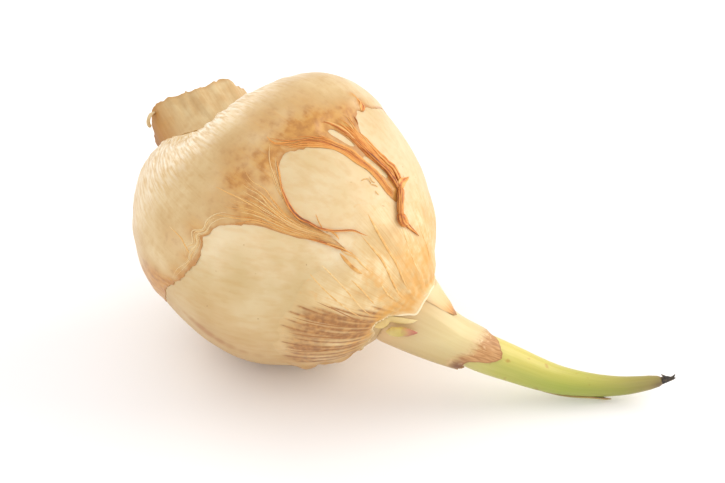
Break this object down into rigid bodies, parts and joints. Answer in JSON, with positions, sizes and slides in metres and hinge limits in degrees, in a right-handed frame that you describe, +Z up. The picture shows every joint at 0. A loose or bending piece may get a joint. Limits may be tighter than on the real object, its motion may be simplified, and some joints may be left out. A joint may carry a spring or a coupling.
{
  "type": "arrowroot corm with shoot",
  "caption": "Round cream-tan arrowhead corm, sold as arrowroot, lying on its side with torn papery scales, a dry collar at its base and a curved green shoot.",
  "frame": {"origin": "the middle of the small flat under the corm, at the height of the surface that it rests on", "axes": "+X runs level along the corm's lie, from the dry collar at its base to the tip of the shoot; +Z is up; +Y is across it, to the side with the collar's raised end"},
  "size_m": [0.0834, 0.0444, 0.0457],
  "materials": {
    "corm_skin": "smooth pale cream living skin, soft satin shine",
    "outer_scale_skin": "thin tan papery skin with fine fibres along the corm, stained brown at its torn edges, satin",
    "inner_scale_skin": "thin pinkish tan skin with brown streaks and creases, satin",
    "dry_collar": "brittle dry skin with fibres standing up, brown and cream, matt",
    "runner_pith": "dry spongy pith, matt",
    "shoot_leaf": "smooth yellow-green living leaf, satin",
    "sheath_leaf": "fleshy pale greenish cream leaf base with a dry brown tongue, satin",
    "neck_scale_skin": "thin yellow-tan skin with a brown point, satin",
    "bud_skin": "smooth yellow-green bud with a reddish point, satin",
    "bract_leaf": "thin drying green-brown leaf, matt",
    "withered_tip": "shrivelled charcoal-dark leaf end, matt"
  },
  "bodies": {
    "root": {"corm": "corm_skin", "outer_scale": "outer_scale_skin", "inner_scale": "inner_scale_skin", "base_collar": "dry_collar", "runner_stump": "runner_pith", "shoot": "shoot_leaf", "shoot_sheath": "sheath_leaf", "neck_scale": "neck_scale_skin", "side_bud": "bud_skin", "under_bract": "bract_leaf", "dry_tip": "withered_tip"}
  },
  "joints": []
}
